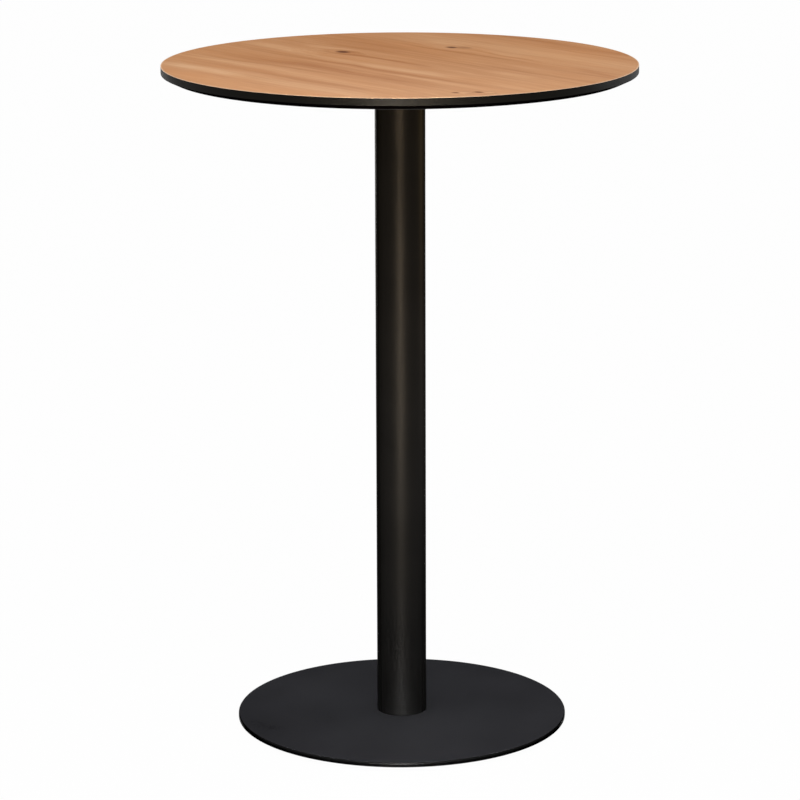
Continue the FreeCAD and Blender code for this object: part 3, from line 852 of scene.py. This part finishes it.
def build_screws(colours):
    """Pan head screws with cross recesses at the arms' tips; the column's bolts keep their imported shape."""
    screw_low, screw_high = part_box("cross_screws")
    seat = screw_low.z + SCREW_HEAD_HEIGHT
    profile = softened((
        (0, screw_low.z),
        (SCREW_HEAD * 0.62, screw_low.z + 0.15 * MM, 2 * MM),
        (SCREW_HEAD, screw_low.z + 1.6 * MM, 1.6 * MM),
        (SCREW_HEAD, seat),
        (SCREW_SHANK, seat),
        (SCREW_SHANK, screw_high.z - 2 * MM),
        (0, screw_high.z),
    ))
    face = np.linspace((0, screw_low.z), (RECESS_FACE, screw_low.z), RECESS_RINGS, endpoint=False)
    profile = np.concatenate([face, profile[1:]])
    grids = []
    for number in range(ARM_COUNT):
        angle = number * math.pi / 2
        middle = SCREW_PLACE * np.array([math.cos(angle), math.sin(angle)])
        grid, wraps = turned(profile, 96, middle)
        turn = FIRST_TURN + TURN_STEP * number
        arms = [[math.cos(turn), -math.sin(turn)], [math.sin(turn), math.cos(turn)]]
        wing, reach = np.moveaxis(np.sort(np.abs((grid[..., :2] - middle) @ arms)), -1, 0)
        inside = np.clip((RECESS_HALF_WIDTH - wing) / RECESS_WALL + 0.5, 0, 1)
        inside *= np.clip((RECESS_ARM - reach) / RECESS_WALL + 0.5, 0, 1)
        head = np.arange(profile.shape[0])[:, None] < RECESS_RINGS
        grid[..., 2] += head * inside * RECESS_DEPTH * (1 - RECESS_TAPER * reach / RECESS_ARM)
        grids.append((grid, wraps))
    finish = brushed_metal("blackened_screws", colours.fastener, 0.42)
    make_piece("pan_head_screws", grids, finish, "table", ["cross_screws"], sharp_angle=30)
    dress_node("column_bolts", brushed_metal("blackened_bolts", colours.fastener, 0.4))


# The column

COLUMN_WALL = 2 * MM
TUBE_EDGE = 0.3 * MM
# Heights, in metres, at which the column has the colours of its foot, its middle and its head: painted shade
# towards the foot, painted warm light towards the head
COLUMN_PAINTED_LIGHT_HEIGHTS = (0.0, 0.45, 1.0)


def build_column(colours):
    """The coated tube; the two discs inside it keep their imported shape."""
    tube_low, tube_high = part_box("column_tube")
    outside = tube_high.x
    bore = outside - COLUMN_WALL
    loop = softened((
        (bore, tube_low.z),
        (outside, tube_low.z, TUBE_EDGE),
        (outside, tube_high.z, TUBE_EDGE),
        (bore, tube_high.z),
        (bore, tube_low.z),
    ))
    # Darker towards the foot as painted shade, warmer towards the head as painted warm light
    levels = list(zip(COLUMN_PAINTED_LIGHT_HEIGHTS, (colours.column_foot, colours.column, colours.column_head)))
    finish = coated("column_powder_coat", colours.column, 0.46, levels=levels, **DARK_GRAZING, Metallic=0.8)
    make_piece("column_coated_tube", [turned(loop)], finish, "table", ["column_tube"])
    raw = brushed_metal("turned_raw_steel", colours.raw_steel, 0.4)
    for node in ("column_head_disc", "column_foot_disc"):
        dress_node(node, raw)


# The base

BOLT_HOLE = 6.5 * MM
COUNTERSINK = 11.57 * MM
FOOT_HOLE = 4.05 * MM
FOOT_HOLE_DEPTH = 6.2 * MM
# A face whose normal points up more than the first has the plate's coat, and more than the second the rim's;
# the rim's and the side's darker coats are painted shade
FLAT_SLOPE, RIM_SLOPE = 0.8, 0.05


def build_base(sizes, colours):
    """The plate: rounded upper rim, countersunk hole in its middle, blind holes for the feet."""
    low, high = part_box("base_plate")
    radius = high.x
    stud_low, stud_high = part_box("foot_stud_front_right")
    foot_place = math.hypot((stud_low.x + stud_high.x) / 2, (stud_low.y + stud_high.y) / 2)
    inner, outer = foot_place - FOOT_RING, foot_place + FOOT_RING
    rim = turned(softened((
        (outer, low.z),
        (radius, low.z, sizes.base_lower_rim),
        (radius, high.z, sizes.base_rim),
        (BOLT_HOLE, high.z),
        (BOLT_HOLE, low.z + COUNTERSINK - BOLT_HOLE),
        (COUNTERSINK, low.z),
        (inner, low.z),
    ), steps=8))
    holes = bored_ring(inner, outer, low.z, FOOT_HOLE, foot_place, FOOT_HOLE_DEPTH, math.pi / 4)
    finish = coated("base_powder_coat", colours.base, 0.52, mottle=0.14, clouds=6, **DARK_GRAZING,
                    Metallic=0.3)
    plate = make_piece("base_coated_plate", [rim, *holes], finish, "table", ["base_plate"])
    # Darker copies of the coat on the rounded rim and the upright side: painted shade
    for name, colour in (("base_rim_painted_shade", colours.base_rim), ("base_side_coat", colours.base_side_painted_shade)):
        plate.data.materials.append(coated(name, colour, 0.34, mottle=0.06, **DARK_GRAZING, Metallic=0.85))
    slope = face_values(plate, "normal")[:, 2]
    shade_by_slope = np.select([slope > FLAT_SLOPE, slope > RIM_SLOPE, slope > -FLAT_SLOPE], [0, 1, 2], 0)
    plate.data.polygons.foreach_set("material_index", shade_by_slope)


# The feet

PEG_RADIUS = 4.75 * MM
PEG_SOCKET_RADIUS = 4.8 * MM
PEG_LENGTH = 2.8 * MM
PEG_END_GAP = 0.2 * MM
COLLAR_GAP = 0.02 * MM
COLLAR_HEIGHT = 3.5 * MM
COLLAR_HALF_WIDTH = 6.5 * MM
COLLAR_BREAK = 0.45 * MM
# Radius of the cone that breaks the collar's corners, at its faces, and how fast it widens
COLLAR_CONE = 0.97 * COLLAR_HALF_WIDTH
CONE_SLOPE = 1.8
PEG_CHAMFER = 0.3 * MM
PAD_LOWER_EDGE = 0.5 * MM
THREAD_RADIUS = 4 * MM
THREAD_LEAD = 0.8 * MM
THREAD_ROWS = 63
FOOT_STEPS = 96


def foot_middle(corner):
    """Where a foot stands."""
    low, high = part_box(f"foot_pad_{corner}")
    return (low.x + high.x) / 2, (low.y + high.y) / 2


def build_pad(corner, sizes, finish):
    """The moulded pad, with the socket in which the stud's peg turns."""
    low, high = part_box(f"foot_pad_{corner}")
    radius = (high.x - low.x) / 2
    floor = high.z - PEG_LENGTH - PEG_END_GAP
    grid = turned(softened((
        (0, low.z),
        (radius, low.z, PAD_LOWER_EDGE),
        (radius, high.z, sizes.pad_edge),
        (PEG_SOCKET_RADIUS, high.z),
        (PEG_SOCKET_RADIUS, floor),
        (0, floor),
    )), FOOT_STEPS, foot_middle(corner))
    make_piece(f"foot_pad_moulded_{corner}", [grid], finish, f"foot_pad_{corner}",
               [f"foot_pad_{corner}"])


def build_stud(corner, sizes, finish):
    """The plated stud: peg, hexagon collar with broken corners, and a right-hand thread.

    The collar's radius at angle a is the hexagon's, w / cos(a mod 60° - 30°), cut by a cone at both faces.
    The thread's is R - d (1 - |2 p - 1|) with the phase p of z / pitch - a / 360°.
    """
    low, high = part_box(f"foot_stud_{corner}")
    across, beside = foot_middle(corner)
    angle = np.linspace(0, 2 * math.pi, FOOT_STEPS, endpoint=False)
    collar_low = high_of(f"foot_pad_{corner}").z + COLLAR_GAP
    collar_high = collar_low + COLLAR_HEIGHT - COLLAR_GAP
    hexagon = COLLAR_HALF_WIDTH / np.cos((angle + math.pi / 6) % (math.pi / 3) - math.pi / 6)
    rows = [(0, low.z), (PEG_RADIUS - PEG_CHAMFER, low.z), (PEG_RADIUS, low.z + PEG_CHAMFER),
            (PEG_RADIUS, collar_low)]
    for level in (collar_low, collar_low + COLLAR_BREAK, collar_high - COLLAR_BREAK, collar_high):
        cone = COLLAR_CONE + CONE_SLOPE * min(level - collar_low, collar_high - level)
        rows.append((np.minimum(hexagon, cone), level))
    for level in np.linspace(collar_high, high.z, THREAD_ROWS):
        phase = (level / sizes.thread_pitch - angle / (2 * math.pi)) % 1
        radius = THREAD_RADIUS - sizes.thread_depth * (1 - np.abs(2 * phase - 1))
        rows.append((np.minimum(radius, THREAD_RADIUS - THREAD_LEAD + (high.z - level)), level))
    rows.append((0, high.z))
    radii = np.stack([np.broadcast_to(radius, angle.shape) for radius, level in rows])
    levels = np.array([level for radius, level in rows])[:, None]
    grid = np.stack(np.broadcast_arrays(
        across + radii * np.cos(angle), beside + radii * np.sin(angle), levels), axis=-1)
    make_piece(f"foot_stud_threaded_{corner}", [(grid, True)], finish, f"foot_stud_{corner}",
               [f"foot_stud_{corner}"], sharp_angle=30)


# The studio

PICTURE_SIDE = 800
FOCAL_PIXELS = 3425.0
SENSOR_WIDTH = 36.0
CAMERA_DISTANCE = 5.3518
CAMERA_HEIGHT = 1.8172
CAMERA_PITCH = math.radians(13.463)
CAMERA_ROLL = math.radians(-0.187)
CAMERA_YAW = math.radians(0.015)
FLOOR_HALF_WIDTH = 12
FLOOR_DROP = 0.2 * MM
FLOOR_WHITE_SHARE = 0.98


def build_camera():
    """The photograph's camera: straight in front, a little above the table, looking down."""
    camera = bpy.data.cameras.new("photo_camera")
    camera.sensor_width = SENSOR_WIDTH
    camera.lens = FOCAL_PIXELS * SENSOR_WIDTH / PICTURE_SIDE
    camera.clip_end = 100
    holder = new_object("photo_camera", camera)
    holder.matrix_world = (
        Matrix.Translation((0, -CAMERA_DISTANCE, CAMERA_HEIGHT)) @ Matrix.Rotation(CAMERA_YAW, 4, "Z")
        @ Matrix.Rotation(math.pi / 2 - CAMERA_PITCH, 4, "X") @ Matrix.Rotation(CAMERA_ROLL, 4, "Z"))
    bpy.context.scene.camera = holder


def build_world(light):
    """A white surround that lights the table softly."""
    world = bpy.data.worlds.new("studio_surround")
    bpy.context.scene.world = world
    tree = NodeTree(world)
    strength = tree.spread(tree.seen_rays(), 0, 1, light.surround, 1)
    tree.tune(tree.nodes["Background"], Color=(1, 1, 1), Strength=strength)


def build_floor(light):
    """A plain pale floor that shows white from above, keeps the table's shadow and isn't there from below."""
    half = FLOOR_HALF_WIDTH
    mesh = bpy.data.meshes.new("studio_floor")
    corners = [(x * half, y * half, -FLOOR_DROP) for x, y in ((-1, -1), (1, -1), (1, 1), (-1, 1))]
    mesh.from_pydata(corners, [], [(0, 1, 2, 3)])
    floor = new_object("studio_floor", mesh)
    material = bpy.data.materials.new("studio_floor")
    tree = NodeTree(material)
    tree.nodes.remove(tree.nodes["Principled BSDF"])
    matt = tree.result("ShaderNodeBsdfDiffuse", light.floor)
    glow = tree.result("ShaderNodeEmission", (1, 1, 1), 1)
    share = tree.times(tree.seen_rays(), FLOOR_WHITE_SHARE)
    above = tree.result("ShaderNodeMixShader", share, matt, glow)
    below = tree.add("ShaderNodeNewGeometry").outputs["Backfacing"]
    clear = tree.result("ShaderNodeBsdfTransparent")
    one_sided = tree.result("ShaderNodeMixShader", below, above, clear)
    tree.tune(tree.nodes["Material Output"], Surface=one_sided)
    mesh.materials.append(material)


def add_lamp(name, power, width, height, place, target, colour=(1, 1, 1), spread=180):
    """A soft rectangular lamp that faces a target; a spread below 180 degrees narrows its beam."""
    lamp = bpy.data.lights.new(name, "AREA")
    lamp.shape = "RECTANGLE"
    lamp.size, lamp.size_y = width, height
    lamp.energy = power
    lamp.color = colour
    lamp.spread = math.radians(spread)
    holder = new_object(name, lamp)
    holder.location = place
    holder.rotation_mode = "QUATERNION"
    holder.rotation_quaternion = (Vector(target) - Vector(place)).to_track_quat("-Z", "Y")
    holder.visible_camera = False


def build_studio(light):
    """Camera, surround, floor and lamps, with colours shown as they are."""
    bpy.context.scene.view_settings.view_transform = "Standard"
    build_camera()
    build_world(light)
    build_floor(light)
    add_lamp("overhead_softbox", light.overhead, 1.8, 0.6, (-0.1, -1.4, 2.6), (0, 0, 0.9))
    add_lamp("front_strip", light.strip, 0.32, 0.8, (-0.08, -3.05, 0.48), (0, 0, 0.5), (1, 0.89, 0.73), 20)
    add_lamp("foot_strip", light.foot, 0.26, 0.26, (-0.05, -2.6, 0.15), (0, -0.25, 0.0), (1, 1, 1), 8)
    add_lamp("edge_lamp", light.edge, 0.14, 0.1, (-0.03, -1.1, 0.93), (0, -0.375, 1.07), (1, 0.88, 0.74), 20)
    add_lamp("right_rear_strip", light.rear, 0.2, 0.9, (2.6, 0.95, 0.7), (0, 0, 0.65), (0.94, 0.96, 1), 18)
    add_lamp("left_rear_strip", light.rear, 0.2, 0.6, (-1.3, 2.8, 0.65), (0, 0, 0.65), (1, 0.97, 0.93), 16)


# Operators

class BARTABLE_OT_studio(bpy.types.Operator):
    """Set up the camera, the floor and the light"""
    bl_idname = "bartable.studio"
    bl_label = "Studio"

    def execute(self, context):
        build_studio(context.scene.bartable_light)
        return {"FINISHED"}


class BARTABLE_OT_board(bpy.types.Operator):
    """Make the wood face and the black edge of the table top"""
    bl_idname = "bartable.board"
    bl_label = "Table Top"

    def execute(self, context):
        build_board(context.scene.bartable_sizes, context.scene.bartable_colours)
        return {"FINISHED"}


class BARTABLE_OT_cross(bpy.types.Operator):
    """Make the cast cross under the table top"""
    bl_idname = "bartable.cross"
    bl_label = "Cast Cross"

    def execute(self, context):
        build_cross(context.scene.bartable_sizes, context.scene.bartable_colours)
        return {"FINISHED"}


class BARTABLE_OT_screws(bpy.types.Operator):
    """Make the screws of the cross and finish the bolts of the column"""
    bl_idname = "bartable.screws"
    bl_label = "Screws and Bolts"

    def execute(self, context):
        build_screws(context.scene.bartable_colours)
        return {"FINISHED"}


class BARTABLE_OT_column(bpy.types.Operator):
    """Make the coated column"""
    bl_idname = "bartable.column"
    bl_label = "Column"

    def execute(self, context):
        build_column(context.scene.bartable_colours)
        return {"FINISHED"}


class BARTABLE_OT_base(bpy.types.Operator):
    """Make the coated base plate"""
    bl_idname = "bartable.base"
    bl_label = "Base Plate"

    def execute(self, context):
        build_base(context.scene.bartable_sizes, context.scene.bartable_colours)
        return {"FINISHED"}


class BARTABLE_OT_feet(bpy.types.Operator):
    """Make the pads and studs of the levelling feet"""
    bl_idname = "bartable.feet"
    bl_label = "Feet"

    def execute(self, context):
        sizes, colours = context.scene.bartable_sizes, context.scene.bartable_colours
        plastic = moulded_plastic("foot_pad_plastic", colours.foot_pad)
        zinc = brushed_metal("zinc_plated_stud", colours.zinc, 0.32)
        for corner in CORNERS:
            build_pad(corner, sizes, plastic)
            build_stud(corner, sizes, zinc)
        return {"FINISHED"}


STEPS = (
    BARTABLE_OT_studio,
    BARTABLE_OT_board,
    BARTABLE_OT_cross,
    BARTABLE_OT_screws,
    BARTABLE_OT_column,
    BARTABLE_OT_base,
    BARTABLE_OT_feet,
)


class BARTABLE_PT_sidebar(bpy.types.Panel):
    """Lists the steps, sizes, colours and light of the table"""
    bl_idname = "BARTABLE_PT_sidebar"
    bl_label = "Bar Table"
    bl_space_type = "VIEW_3D"
    bl_region_type = "UI"
    bl_category = "Bar Table"

    def draw(self, context):
        for step in STEPS:
            self.layout.operator(step.bl_idname)
        scene = context.scene
        for group in (scene.bartable_sizes, scene.bartable_colours, scene.bartable_light):
            box = self.layout.box()
            for name in group.__annotations__:
                box.prop(group, name)


CLASSES = (TableSizes, TableColours, StudioLight, *STEPS, BARTABLE_PT_sidebar)


def register():
    for entry in CLASSES:
        bpy.utils.register_class(entry)
    bpy.types.Scene.bartable_sizes = bpy.props.PointerProperty(type=TableSizes)
    bpy.types.Scene.bartable_colours = bpy.props.PointerProperty(type=TableColours)
    bpy.types.Scene.bartable_light = bpy.props.PointerProperty(type=StudioLight)


def unregister():
    del bpy.types.Scene.bartable_light
    del bpy.types.Scene.bartable_colours
    del bpy.types.Scene.bartable_sizes
    for entry in reversed(CLASSES):
        bpy.utils.unregister_class(entry)


def main():
    register()
    for step in STEPS:
        group, name = step.bl_idname.split(".")
        getattr(getattr(bpy.ops, group), name)()


if __name__ == "__main__":
    main()
